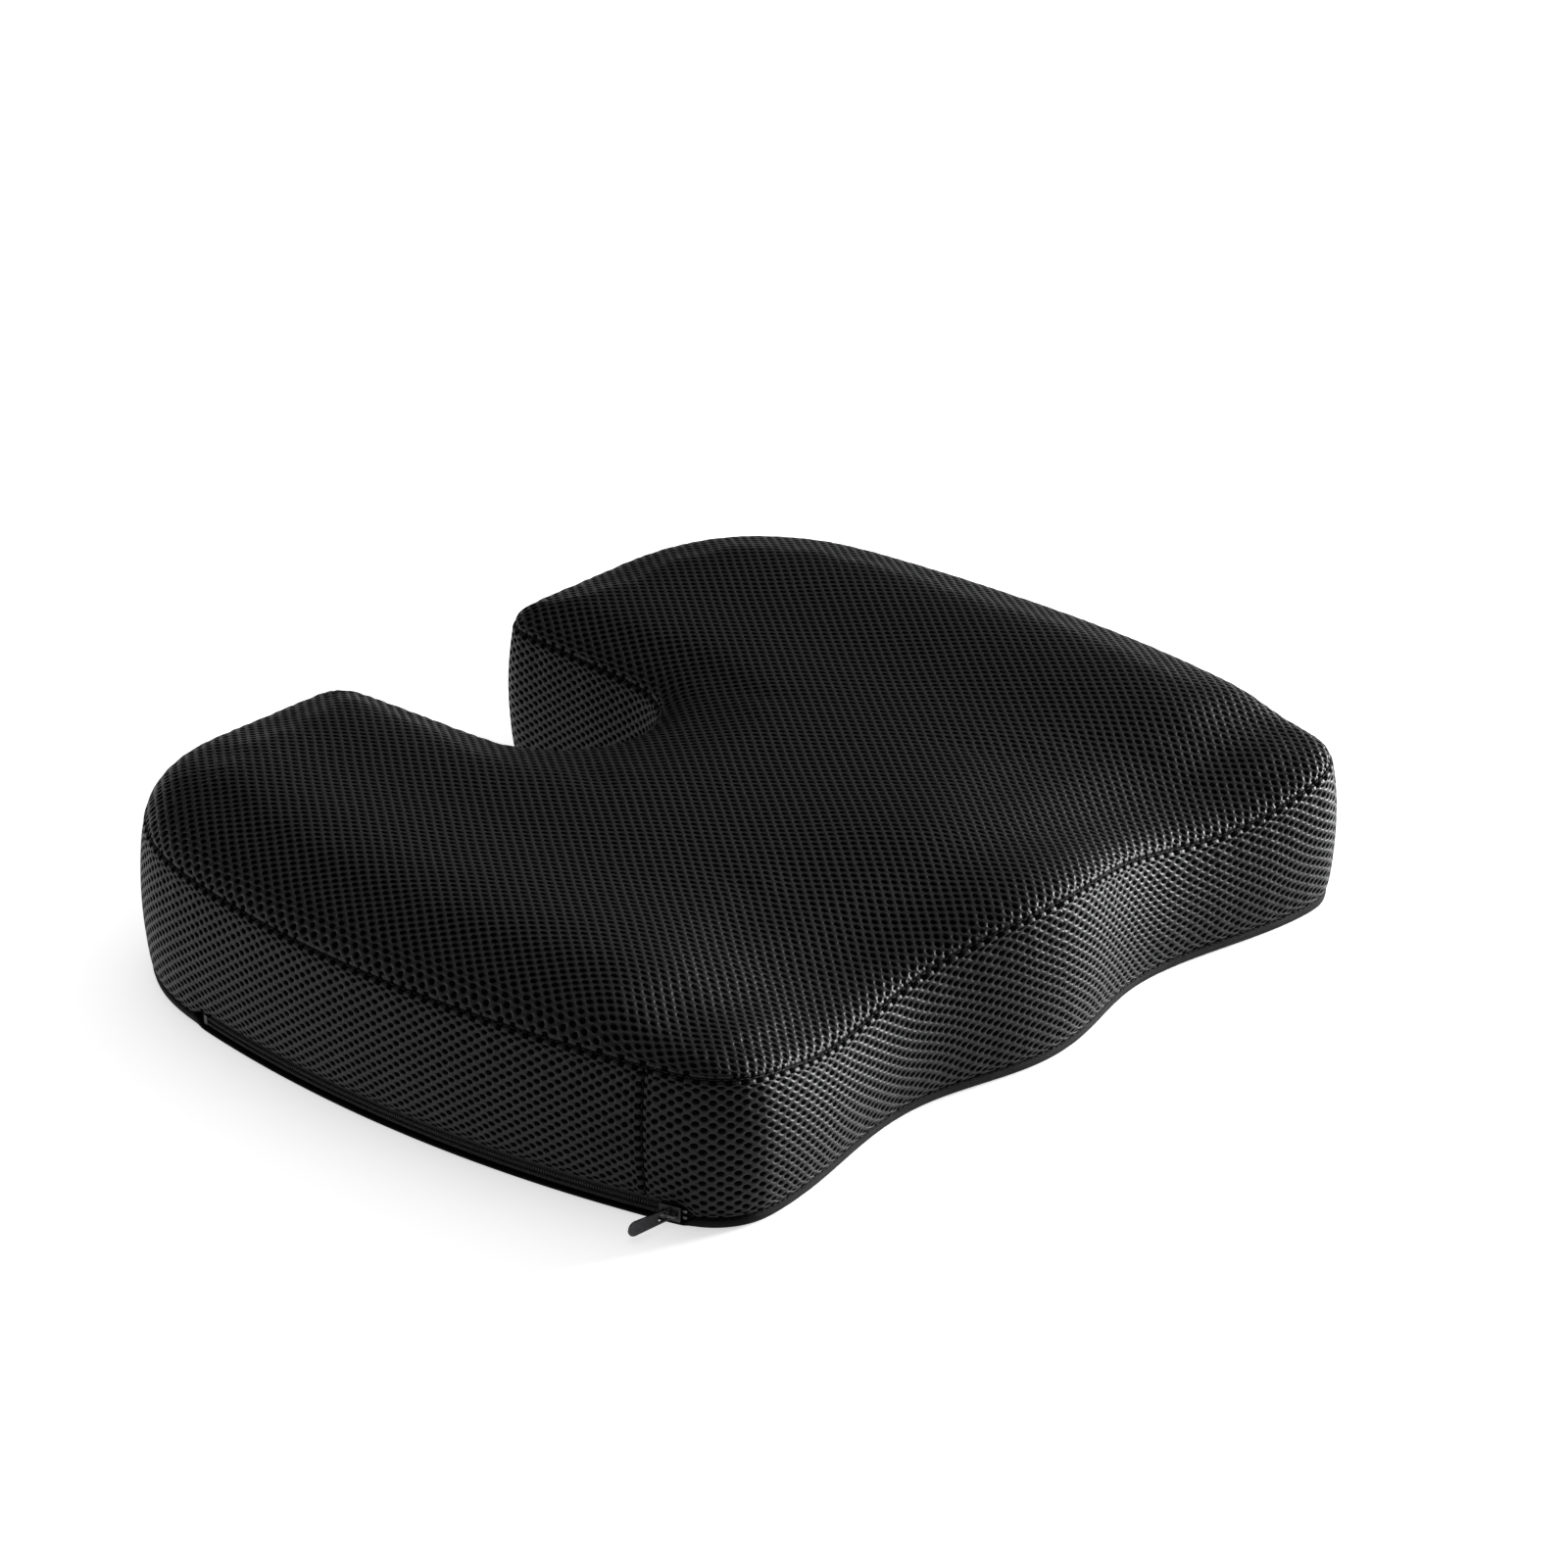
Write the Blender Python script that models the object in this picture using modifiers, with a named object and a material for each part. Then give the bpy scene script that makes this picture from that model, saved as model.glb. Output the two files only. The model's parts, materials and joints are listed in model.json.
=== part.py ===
"""Seat cushion with a coccyx notch: a contoured foam core in a zipped mesh cover.

Metres, +Z up. The front edge faces -Y, the notch opens to +Y, and the cushion
rests on z = 0 with its middle at x = y = 0. The zip runs along the -X side.
"""

from math import asin, ceil, cos, exp, pi, radians, sin

import bmesh
import bpy
from mathutils import Vector
from mathutils.geometry import delaunay_2d_cdt

# Sewn outline, seen from above
WIDTH = 0.445
FRONT_REACH = 0.1825  # from the middle to the front edge's high points
BACK_REACH = 0.1825
SIDE_RADIUS = 0.600
FRONT_CORNER_RADIUS = 0.030
SHOULDER_RADIUS = 0.095
SCALLOP_DEPTH = 0.014
SCALLOP_X = 0.075  # from the middle to the deepest place of a thigh scallop
NOTCH_WIDTH = 0.086
NOTCH_END_Y = 0.053
MOUTH_WIDTH = 0.094
MOUTH_RADIUS = 0.020

# Height of the top seam, and the swell of the top above it
SIDE_HEIGHT = 0.066
BACK_RISE = 0.003
RIDGE_RISE = 0.005
RIDGE_SPREAD = 0.040
GROOVE_DROP = 0.009
GROOVE_X = 0.096
GROOVE_SPREAD = 0.042
GROOVE_REACH = 0.150  # how far back from the front edge the grooves run out
CROWN = 0.008
CROWN_RUN = 0.016
WALL_BULGE = 0.003

# Cover
MESH_CLOTH = 0.0030
BASE_CLOTH = 0.0015
SEAM_Y = -0.147  # where the front and rear boxing strips are joined
THREAD_RADIUS = 0.0004
GAP = 0.0003

# Zip
ZIP_FOOT = BASE_CLOTH + GAP
TAPE_CLOTH = 0.0006
HEM_ABOVE_ZIP = 0.001
TAPE_HIDDEN = 0.005  # the part of the upper tape that lies behind the boxing
COIL_WIDTH = 0.0015
COIL_THICKNESS = 0.0018
COIL_SLOT = 0.0012
ZIP_REAR_Y = 0.090
STOP_LENGTH = 0.0022
TAPE_TAIL = 0.004

# Slider and pull
PLATE = 0.0008
FLANGE = 0.0008
SLIDER_LENGTH = 0.0090
POST_LENGTH = 0.0020
BRIDGE_SPAN = 0.0060
BRIDGE_ROOM = 0.0019
BRIDGE_BAR = 0.0008
BRIDGE_HEIGHT = 0.0012
PULL_LENGTH = 0.0200
PULL_WIDTH = 0.0064
PULL_THICKNESS = 0.0008
PULL_ROOT = 0.0010
PULL_EYE_LENGTH = 0.0047
PULL_EYE_HEIGHT = 0.0032
PULL_TAPER = 0.0006
PULL_REST_TURN = radians(-22)  # from the slider's outward line

# Foam
FOAM_ROOM = 0.0014  # between the cover's inside and the foam's side
FOAM_TOP_EDGE = 0.006
FOAM_FOOT_EDGE = 0.004

# Fineness of the faceted shapes
ARC_STEP = radians(18)
WAVE_PIECES = 12
SIDE_PIECES = 12
WALL_PIECES = 4
ZIP_STEP = 0.012
EDGE_RINGS = (0.005, 0.013)
INNER_PITCH = 0.026

# What follows from the sizes above
SIDE_CENTRE_X = SIDE_RADIUS - WIDTH / 2
CORNER_TURN = asin((FRONT_REACH - FRONT_CORNER_RADIUS) / (SIDE_RADIUS - FRONT_CORNER_RADIUS))
CORNER_X = (SIDE_RADIUS - FRONT_CORNER_RADIUS) * cos(CORNER_TURN) - SIDE_CENTRE_X
SHOULDER_TURN = asin((BACK_REACH - SHOULDER_RADIUS) / (SIDE_RADIUS - SHOULDER_RADIUS))
SEAM_TURN = asin(SEAM_Y / SIDE_RADIUS)
TAPE_INSET = MESH_CLOTH + GAP
COIL_INSET = TAPE_INSET - GAP - COIL_THICKNESS
CHAIN_WIDTH = 2 * COIL_WIDTH + COIL_SLOT
SLIDER_WIDTH = CHAIN_WIDTH + 2 * (GAP + FLANGE)
ZIP_Z = ZIP_FOOT + SLIDER_WIDTH / 2
ZIP_TOP = ZIP_Z + SLIDER_WIDTH / 2 + GAP
HEM_TOP = ZIP_TOP + HEM_ABOVE_ZIP
ZIP_LENGTH = SIDE_RADIUS * (CORNER_TURN + asin(ZIP_REAR_Y / SIDE_RADIUS))
TAPE_SPAN = (-GAP - STOP_LENGTH - TAPE_TAIL, ZIP_LENGTH + GAP + STOP_LENGTH + TAPE_TAIL)
SLIDER_TURN = CORNER_TURN - SLIDER_LENGTH / 2 / SIDE_RADIUS
PIVOT_OUT = GAP + PLATE + BRIDGE_ROOM / 2 - COIL_INSET
THREAD_INSET = MESH_CLOTH + GAP + THREAD_RADIUS
THREAD_LIFT = GAP + THREAD_RADIUS


def clear_scene():
    for thing in list(bpy.data.objects):
        bpy.data.objects.remove(thing, do_unlink=True)


def material(name, colour, roughness, metallic=0.0):
    made = bpy.data.materials.new(name)
    made.use_nodes = True
    shader = made.node_tree.nodes["Principled BSDF"]
    shader.inputs["Base Color"].default_value = (*colour, 1.0)
    shader.inputs["Roughness"].default_value = roughness
    shader.inputs["Metallic"].default_value = metallic
    return made


def air_mesh():
    return material("air_mesh", (0.030, 0.031, 0.033), 0.85)


def base_cloth():
    return material("base_cloth", (0.022, 0.022, 0.024), 0.90)


def foam():
    return material("memory_foam", (0.78, 0.74, 0.62), 0.95)


def thread():
    return material("sewing_thread", (0.012, 0.012, 0.013), 0.70)


def tape_cloth():
    return material("zip_tape", (0.012, 0.012, 0.013), 0.85)


def coil_nylon():
    return material("zip_coil", (0.020, 0.020, 0.022), 0.45)


def dark_metal():
    return material("zip_metal", (0.16, 0.16, 0.17), 0.38, 1.0)


# The outline


class Path:
    """A run of points seen from above, with the way out of the cushion at each."""

    def __init__(self, points, ways_out):
        self.points = points
        self.ways_out = ways_out

    def __len__(self):
        return len(self.points)

    def place(self, i, inset):
        (x, y), (out_x, out_y) = self.points[i], self.ways_out[i]
        return (x - out_x * inset, y - out_y * inset)

    def line(self, inset):
        return [self.place(i, inset) for i in range(len(self.points))]

    def ribbon(self, outer_inset, inner_inset):
        return self.line(outer_inset) + self.line(inner_inset)[::-1]

    def stretch(self, first, last):
        """The points from first to last, counted round the outline, with each end pulled back."""
        count = len(self.points)
        order = [i % count for i in range(first, last + 1)]
        points = [Vector(self.points[i]) for i in order]
        for end, neighbour in ((0, 1), (-1, -2)):
            points[end] += (points[neighbour] - points[end]).normalized() * GAP / 2
        return Path([tuple(point) for point in points], [self.ways_out[i] for i in order])


def closed_path(points):
    ways_out = []
    for i in range(len(points)):
        run = Vector(points[(i + 1) % len(points)]) - Vector(points[i - 1])
        run.normalize()
        ways_out.append((run.y, -run.x))
    return Path(points, ways_out)


def arc(centre, radius, start, end, pieces):
    """Points from start towards end, which is left to the next stretch."""
    turns = [start + (end - start) * i / pieces for i in range(pieces)]
    return [(centre[0] + radius * cos(turn), centre[1] + radius * sin(turn)) for turn in turns]


def straight(start, end, pieces):
    return [tuple(Vector(start).lerp(Vector(end), i / pieces)) for i in range(pieces)]


def pieces_for(sweep):
    return max(2, ceil(abs(sweep) / ARC_STEP))


def front_wave(x, crest_x):
    """The front edge: a bump in the middle and a scallop for each thigh."""
    if x < SCALLOP_X:
        share = (1 - cos(pi * x / SCALLOP_X)) / 2
    else:
        share = (1 + cos(pi * (x - SCALLOP_X) / (crest_x - SCALLOP_X))) / 2
    return -FRONT_REACH + SCALLOP_DEPTH * share


def half_outline():
    """The +X half from the front's middle to the notch's end, and the seam's place in it."""
    side = (-SIDE_CENTRE_X, 0)
    points = []
    for i in range(WAVE_PIECES):
        x = CORNER_X * i / WAVE_PIECES
        points.append((x, front_wave(x, CORNER_X)))
    corner = (CORNER_X, FRONT_CORNER_RADIUS - FRONT_REACH)
    sweep = pi / 2 - CORNER_TURN
    points += arc(corner, FRONT_CORNER_RADIUS, -pi / 2, -CORNER_TURN, pieces_for(sweep))
    points += arc(side, SIDE_RADIUS, -CORNER_TURN, SEAM_TURN, 1)
    seam = len(points)
    points += arc(side, SIDE_RADIUS, SEAM_TURN, SHOULDER_TURN, SIDE_PIECES)

    shoulder_x = (SIDE_RADIUS - SHOULDER_RADIUS) * cos(SHOULDER_TURN) - SIDE_CENTRE_X
    shoulder = (shoulder_x, BACK_REACH - SHOULDER_RADIUS)
    sweep = pi / 2 - SHOULDER_TURN
    points += arc(shoulder, SHOULDER_RADIUS, SHOULDER_TURN, pi / 2, pieces_for(sweep) + 2)
    mouth = (MOUTH_WIDTH / 2 + MOUTH_RADIUS, BACK_REACH - MOUTH_RADIUS)
    points += straight((shoulder_x, BACK_REACH), (mouth[0], BACK_REACH), 2)
    points += arc(mouth, MOUTH_RADIUS, pi / 2, pi, pieces_for(pi / 2))
    notch = (0, NOTCH_END_Y + NOTCH_WIDTH / 2)
    points += straight((MOUTH_WIDTH / 2, mouth[1]), (NOTCH_WIDTH / 2, notch[1]), 4)
    points += arc(notch, NOTCH_WIDTH / 2, 0, -pi / 2, pieces_for(pi / 2))
    points.append((0, NOTCH_END_Y))
    return points, seam


def full_outline():
    """The closed outline, anticlockwise from the front's middle, and both seams' places."""
    half, seam = half_outline()
    points = half + [(-x, y) for x, y in half[-2:0:-1]]
    return closed_path(points), seam, len(points) - seam


def zip_path(start, end):
    """The -X side between two distances along the zip, which starts where the front corner ends."""
    corner = (-CORNER_X, FRONT_CORNER_RADIUS - FRONT_REACH)
    side = (SIDE_CENTRE_X, 0)
    pieces = ceil((end - start) / ZIP_STEP)
    places = [start + (end - start) * i / pieces for i in range(pieces + 1)]
    if start < 0 < end:
        places = sorted(place for place in places + [0] if place == 0 or abs(place) > ZIP_STEP / 8)
    points = []
    ways_out = []
    for place in places:
        if place < 0:
            centre, radius = corner, FRONT_CORNER_RADIUS
        else:
            centre, radius = side, SIDE_RADIUS
        turn = CORNER_TURN - place / radius
        way_out = (-cos(turn), -sin(turn))
        ways_out.append(way_out)
        points.append((centre[0] + way_out[0] * radius, centre[1] + way_out[1] * radius))
    return Path(points, ways_out)


def distance_to(point, outline):
    """The shortest way from a point to a closed outline."""
    spot = Vector(point)
    shortest = WIDTH
    for i, corner in enumerate(outline):
        start = Vector(outline[i - 1])
        side = Vector(corner) - start
        share = max(0, min(1, (spot - start).dot(side) / side.length_squared))
        shortest = min(shortest, (spot - start - side * share).length)
    return shortest


def is_inside(point, outline):
    x, y = point
    inside = False
    for i, (bx, by) in enumerate(outline):
        ax, ay = outline[i - 1]
        if (ay > y) != (by > y) and x < ax + (bx - ax) * (y - ay) / (by - ay):
            inside = not inside
    return inside


# Heights


def ease(share):
    share = max(0, min(1, share))
    return share * share * (3 - 2 * share)


def seam_height(x, y):
    """The height of the top seam, and of the level that the top swells up from."""
    towards_front = ease((GROOVE_REACH - FRONT_REACH - y) / GROOVE_REACH)
    towards_back = ease(y / BACK_REACH)
    groove = exp(-(((abs(x) - GROOVE_X) / GROOVE_SPREAD) ** 2))
    ridge = exp(-((x / RIDGE_SPREAD) ** 2))
    front_shape = RIDGE_RISE * ridge - GROOVE_DROP * groove
    return SIDE_HEIGHT + BACK_RISE * towards_back + front_shape * towards_front


def underside(x, y, edge_distance):
    """The height of the top panel's underside."""
    return seam_height(x, y) + CROWN * (1 - exp(-edge_distance / CROWN_RUN))


def bulge(z, height):
    """How far the faceted side wall stands out of the sewn outline at height z."""
    place = max(0, min(1, (z - HEM_TOP) / (height - HEM_TOP))) * WALL_PIECES
    below = min(int(place), WALL_PIECES - 1)
    lower, upper = (WALL_BULGE * sin(pi * row / WALL_PIECES) for row in (below, below + 1))
    return lower + (upper - lower) * (place - below)


# Mesh helpers


def new_collection(name):
    made = bpy.data.collections.new(name)
    bpy.context.scene.collection.children.link(made)
    return made


def add_object(name, data, look, home):
    made = bpy.data.objects.new(name, data)
    data.materials.append(look)
    home.objects.link(made)
    return made


def add_mesh(name, mesh, look, home):
    bmesh.ops.recalc_face_normals(mesh, faces=mesh.faces[:])
    data = bpy.data.meshes.new(name)
    mesh.to_mesh(data)
    mesh.free()
    data.shade_smooth()
    data.set_sharp_from_angle(angle=radians(40))
    return add_object(name, data, look, home)


def extrude_outline(name, places, travel, look, home):
    """A flat outline given a thickness by one extrusion."""
    mesh = bmesh.new()
    face = mesh.faces.new([mesh.verts.new(place) for place in places])
    grown = bmesh.ops.extrude_face_region(mesh, geom=[face])["geom"]
    moved = [item for item in grown if isinstance(item, bmesh.types.BMVert)]
    bmesh.ops.translate(mesh, verts=moved, vec=travel)
    return add_mesh(name, mesh, look, home)


def upright(name, outline, bottom, top, look, home):
    places = [(x, y, bottom) for x, y in outline]
    return extrude_outline(name, places, (0, 0, top - bottom), look, home)


def extrude_rows(mesh, loop, rows):
    """Grows a wall from a loop of points through rows of new places, and returns its last loop."""
    for row in rows:
        edges = [mesh.edges.get((loop[i - 1], vert)) for i, vert in enumerate(loop)]
        grown = bmesh.ops.extrude_edge_only(mesh, edges=edges)["geom"]
        new_verts = {item for item in grown if isinstance(item, bmesh.types.BMVert)}
        next_loop = []
        for vert in loop:
            linked = [edge.other_vert(vert) for edge in vert.link_edges]
            next_loop.append(next(other for other in linked if other in new_verts))
        for vert, place in zip(next_loop, row):
            vert.co = place
        loop = next_loop
    return loop


def contoured_faces(mesh, outline, rings, level):
    """A surface over an outline: rings near its edge and an even net inside, each at its level."""
    loops = [outline.line(ring) for ring in rings]
    count = len(outline)
    points = [point for loop in loops for point in loop]
    edges = []
    for first in range(0, len(points), count):
        edges += [(first + i, first + (i + 1) % count) for i in range(count)]
    columns = ceil(WIDTH / INNER_PITCH / 2)
    rows = ceil(max(FRONT_REACH, BACK_REACH) / INNER_PITCH)
    for row in range(-rows, rows + 1):
        for column in range(-columns, columns + 1):
            point = (column * INNER_PITCH, row * INNER_PITCH)
            room = distance_to(point, loops[-1])
            if is_inside(point, loops[-1]) and room > INNER_PITCH / 3:
                points.append(point)
    placed, _, faces, _, _, _ = delaunay_2d_cdt([Vector(p) for p in points], edges, [], 1, 1e-6)
    sewn = outline.line(0)
    verts = [mesh.verts.new((p.x, p.y, level(p.x, p.y, distance_to(p, sewn)))) for p in placed]
    for face in faces:
        mesh.faces.new([verts[i] for i in face])
    return verts[:count]


def bake(thing):
    """Replaces an object's modifiers by the mesh that they make."""
    bpy.context.view_layer.update()
    seen = thing.evaluated_get(bpy.context.evaluated_depsgraph_get())
    data = bpy.data.meshes.new_from_object(seen)
    thing.modifiers.clear()
    thing.data = data


def add_boolean(target, other, operation):
    step = target.modifiers.new(other.name, "BOOLEAN")
    step.operation = operation
    step.solver = "EXACT"
    step.object = other


# Cover and foam


def make_top_panel(outline, home):
    mesh = bmesh.new()
    contoured_faces(mesh, outline, (0, *EDGE_RINGS), underside)
    panel = add_mesh("top_panel", mesh, air_mesh(), home)
    facing_up = panel.data.polygons[0].normal.z > 0
    cloth = panel.modifiers.new("cloth", "SOLIDIFY")
    cloth.thickness = MESH_CLOTH
    cloth.offset = 1 if facing_up else -1
    return panel


def boxing_rows(path, cloth_inset):
    """Rows of places up one face of a boxing strip, from its hem to just under the top panel."""
    rows = [[(*place, ZIP_FOOT) for place in path.line(cloth_inset)]]
    tops = [seam_height(x, y) - GAP for x, y in path.points]
    for step in range(WALL_PIECES + 1):
        row = []
        for i, top in enumerate(tops):
            z = HEM_TOP + (top - HEM_TOP) * step / WALL_PIECES
            row.append((*path.place(i, cloth_inset - bulge(z, top)), z))
        rows.append(row)
    return rows


def make_boxing(name, path, home):
    """A strip of the cover's side, closed along all four edges."""
    outer = boxing_rows(path, 0)
    inner = boxing_rows(path, MESH_CLOTH)
    rows = [outside + inside[::-1] for outside, inside in zip(outer, inner)]
    mesh = bmesh.new()
    loop = [mesh.verts.new(place) for place in rows[0]]
    mesh.faces.new(loop)
    loop = extrude_rows(mesh, loop, rows[1:])
    close_ribbon(mesh, loop)
    return add_mesh(name, mesh, air_mesh(), home)


def close_ribbon(mesh, loop):
    """Closes a strip's top edge with a face across each pair of opposite points."""
    half = len(loop) // 2
    for i in range(half - 1):
        mesh.faces.new([loop[i], loop[i + 1], loop[-i - 2], loop[-i - 1]])


def make_bottom_panel(outline, home):
    return upright("bottom_panel", outline.line(0), 0, BASE_CLOTH, base_cloth(), home)


def make_foam(outline, home):
    """The moulded core: contoured top, rounded edges and sides that follow the cover's bulge."""
    side = MESH_CLOTH + FOAM_ROOM
    top_edge = side + FOAM_TOP_EDGE
    mesh = bmesh.new()

    def foam_top(x, y, edge_distance):
        return underside(x, y, edge_distance) - GAP

    loop = contoured_faces(mesh, outline, (top_edge, *EDGE_RINGS[1:]), foam_top)
    heights = [seam_height(x, y) for x, y in outline.points]
    rows = []
    for step in range(WALL_PIECES - 1, 0, -1):
        row = []
        for i, height in enumerate(heights):
            z = HEM_TOP + (height - HEM_TOP) * step / WALL_PIECES
            row.append((*outline.place(i, side - bulge(z, height)), z))
        rows.append(row)
    rows.append([(*place, ZIP_TOP + TAPE_HIDDEN) for place in outline.line(side)])
    rows.append([(*place, ZIP_TOP) for place in outline.line(side + FOAM_FOOT_EDGE / 2)])
    rows.append([(*place, ZIP_FOOT) for place in outline.line(side + FOAM_FOOT_EDGE)])
    mesh.faces.new(extrude_rows(mesh, loop, rows))
    return add_mesh("foam_core", mesh, foam(), home)


# Sewing


def make_thread(name, places, closed, home):
    curve = bpy.data.curves.new(name, "CURVE")
    curve.dimensions = "3D"
    curve.bevel_depth = THREAD_RADIUS
    curve.bevel_resolution = 0
    curve.use_fill_caps = not closed
    line = curve.splines.new("POLY")
    line.points.add(len(places) - 1)
    for point, place in zip(line.points, places):
        point.co = (*place, 1)
    line.use_cyclic_u = closed
    return add_object(name, curve, thread(), home)


def make_top_seam(outline, home):
    ring = []
    for i, (x, y) in enumerate(outline.points):
        ring.append((*outline.place(i, THREAD_INSET), seam_height(x, y) - THREAD_LIFT))
    return make_thread("top_seam_thread", ring, True, home)


def make_bottom_seam(outline, home):
    """The seam that joins base and boxing, from one end of the zip's tape to the other."""
    tape = zip_path(*TAPE_SPAN)
    room = GAP + THREAD_RADIUS
    ends = zip_path(TAPE_SPAN[0] - room, TAPE_SPAN[1] + room).line(THREAD_INSET)
    front_y, rear_y = tape.points[0][1], tape.points[-1][1]
    kept = []
    for place, (x, y) in zip(outline.line(THREAD_INSET), outline.points):
        beside_zip = x < -CORNER_X and front_y - 2 * room < y < rear_y + 2 * room
        if not beside_zip:
            kept.append(place)
    after_zip = min(range(len(kept)), key=lambda i: (Vector(kept[i]) - Vector(ends[0])).length)
    run = [ends[0]] + kept[after_zip:] + kept[:after_zip] + [ends[-1]]
    z = BASE_CLOTH + THREAD_LIFT
    return make_thread("bottom_seam_thread", [(x, y, z) for x, y in run], False, home)


def make_upright_seam(name, outline, index, foot, home):
    """The seam between the two boxing strips at one side."""
    height = seam_height(*outline.points[index])
    head = height - 2 * THREAD_LIFT - THREAD_RADIUS
    levels = [HEM_TOP + (height - HEM_TOP) * step / WALL_PIECES for step in range(WALL_PIECES)]
    places = []
    for z in [foot, *(level for level in levels if level > foot), head]:
        places.append((*outline.place(index, THREAD_INSET - bulge(z, height)), z))
    return make_thread(name, places, False, home)


# Zip


def make_zip(home):
    lower_edge = ZIP_Z - COIL_SLOT / 2
    upper_edge = ZIP_Z + COIL_SLOT / 2
    halves = (
        ("lower", ZIP_FOOT, lower_edge, lower_edge - COIL_WIDTH, lower_edge),
        ("upper", upper_edge, ZIP_TOP + TAPE_HIDDEN, upper_edge, upper_edge + COIL_WIDTH),
    )
    tape = zip_path(*TAPE_SPAN).ribbon(TAPE_INSET, TAPE_INSET + TAPE_CLOTH)
    coil = zip_path(0, ZIP_LENGTH).ribbon(COIL_INSET, COIL_INSET + COIL_THICKNESS)
    top_stop = zip_path(-GAP - STOP_LENGTH, -GAP).ribbon(COIL_INSET, COIL_INSET + COIL_THICKNESS)
    for side, tape_foot, tape_head, coil_foot, coil_head in halves:
        upright(f"zip_tape_{side}", tape, tape_foot, tape_head, tape_cloth(), home)
        upright(f"zip_coil_{side}", coil, coil_foot, coil_head, coil_nylon(), home)
        upright(f"zip_top_stop_{side}", top_stop, coil_foot, coil_head, dark_metal(), home)
    rear = zip_path(ZIP_LENGTH + GAP, ZIP_LENGTH + GAP + STOP_LENGTH)
    rear_stop = rear.ribbon(COIL_INSET, COIL_INSET + COIL_THICKNESS)
    foot, head = ZIP_Z - CHAIN_WIDTH / 2, ZIP_Z + CHAIN_WIDTH / 2
    upright("zip_bottom_stop", rear_stop, foot, head, dark_metal(), home)


def cut_zip_window(boxings, cutters):
    """Opens the boxing's hem along the coil, so that the slider can run there."""
    room = GAP + STOP_LENGTH + GAP
    window = zip_path(-room, ZIP_LENGTH + room).ribbon(-MESH_CLOTH, TAPE_INSET - GAP / 2)
    cutter = upright("zip_window", window, BASE_CLOTH, ZIP_TOP, tape_cloth(), cutters)
    cutter.hide_render = True
    cutter.display_type = "WIRE"
    for boxing in boxings:
        add_boolean(boxing, cutter, "DIFFERENCE")


def make_slider(axis, home):
    """A die-cast slider: two plates round the coils, a post between them and a bridge outside.

    Its own x runs back along the zip, y points out of the cushion and z is up.
    """
    half = SLIDER_LENGTH / 2
    plate_in = -COIL_INSET + GAP
    plate_out = plate_in + PLATE
    lip = -TAPE_INSET + GAP
    top, under_lip = SLIDER_WIDTH / 2, SLIDER_WIDTH / 2 - FLANGE
    channel = (
        (plate_out, -top),
        (plate_out, top),
        (lip, top),
        (lip, under_lip),
        (plate_in, under_lip),
        (plate_in, -under_lip),
        (lip, -under_lip),
        (lip, -top),
    )
    places = [(-half, y, z) for y, z in channel]
    slider = extrude_outline("zip_slider", places, (SLIDER_LENGTH, 0, 0), dark_metal(), home)

    inner_face = -TAPE_INSET - TAPE_CLOTH - GAP
    inner = [(-half, inner_face - PLATE, -top), (-half, inner_face, -top)]
    inner += [(-half, inner_face, top), (-half, inner_face - PLATE, top)]
    inner_plate = extrude_outline("inner_plate", inner, (SLIDER_LENGTH, 0, 0), dark_metal(), home)

    post_half = COIL_SLOT / 2 - GAP
    post_foot, post_head = inner_face - PLATE / 2, plate_in + PLATE / 2
    post = [(-half + PLATE, post_foot, -post_half), (-half + PLATE, post_head, -post_half)]
    post += [(-half + PLATE + POST_LENGTH, y, -post_half) for y in (post_head, post_foot)]
    post_block = extrude_outline("post", post, (0, 0, 2 * post_half), dark_metal(), home)

    reach = BRIDGE_SPAN / 2
    crest = plate_out + BRIDGE_ROOM
    sunk = plate_out - PLATE / 2
    arch = ((-reach - BRIDGE_BAR, sunk), (-reach - BRIDGE_BAR, crest), (-reach, crest + BRIDGE_BAR))
    arch += ((reach, crest + BRIDGE_BAR), (reach + BRIDGE_BAR, crest), (reach + BRIDGE_BAR, sunk))
    arch += ((reach, sunk), (reach, crest), (-reach, crest), (-reach, sunk))
    places = [(x, y, -BRIDGE_HEIGHT / 2) for x, y in arch]
    bridge = extrude_outline("bridge", places, (0, 0, BRIDGE_HEIGHT), dark_metal(), home)

    helpers = (inner_plate, post_block, bridge)
    for helper in helpers:
        add_boolean(slider, helper, "UNION")
    bake(slider)
    for helper in helpers:
        bpy.data.objects.remove(helper, do_unlink=True)
    slider.parent = axis
    slider.location = (0, SIDE_RADIUS, 0)
    return slider


def make_pull(slider, home):
    """A flat tab with a square eye round the bridge and a round end, standing on its edge."""
    curve = bpy.data.curves.new("zip_pull", "CURVE")
    curve.dimensions = "2D"
    curve.fill_mode = "BOTH"
    curve.extrude = PULL_THICKNESS / 2
    half_root = PULL_WIDTH / 2 - PULL_TAPER
    end_radius = PULL_WIDTH / 2
    root = -PULL_ROOT / 2
    shape = [(-half_root, root), (half_root, root)]
    end = (0, PULL_LENGTH - end_radius)
    shape += arc(end, end_radius, 0, pi, 8) + [(-end_radius, end[1])]
    eye_foot = PULL_ROOT / 2
    eye_head = eye_foot + PULL_EYE_LENGTH
    eye_half = PULL_EYE_HEIGHT / 2
    eye = [(-eye_half, eye_foot), (eye_half, eye_foot), (eye_half, eye_head), (-eye_half, eye_head)]
    for outline in (shape, eye):
        line = curve.splines.new("POLY")
        line.points.add(len(outline) - 1)
        for point, (x, y) in zip(line.points, outline):
            point.co = (x, y, 0, 1)
        line.use_cyclic_u = True
    pull = add_object("zip_pull", curve, dark_metal(), home)
    pull.parent = slider
    pull.location = (0, PIVOT_OUT, 0)
    pull.rotation_euler = (0, -pi / 2, PULL_REST_TURN)
    return pull


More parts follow.
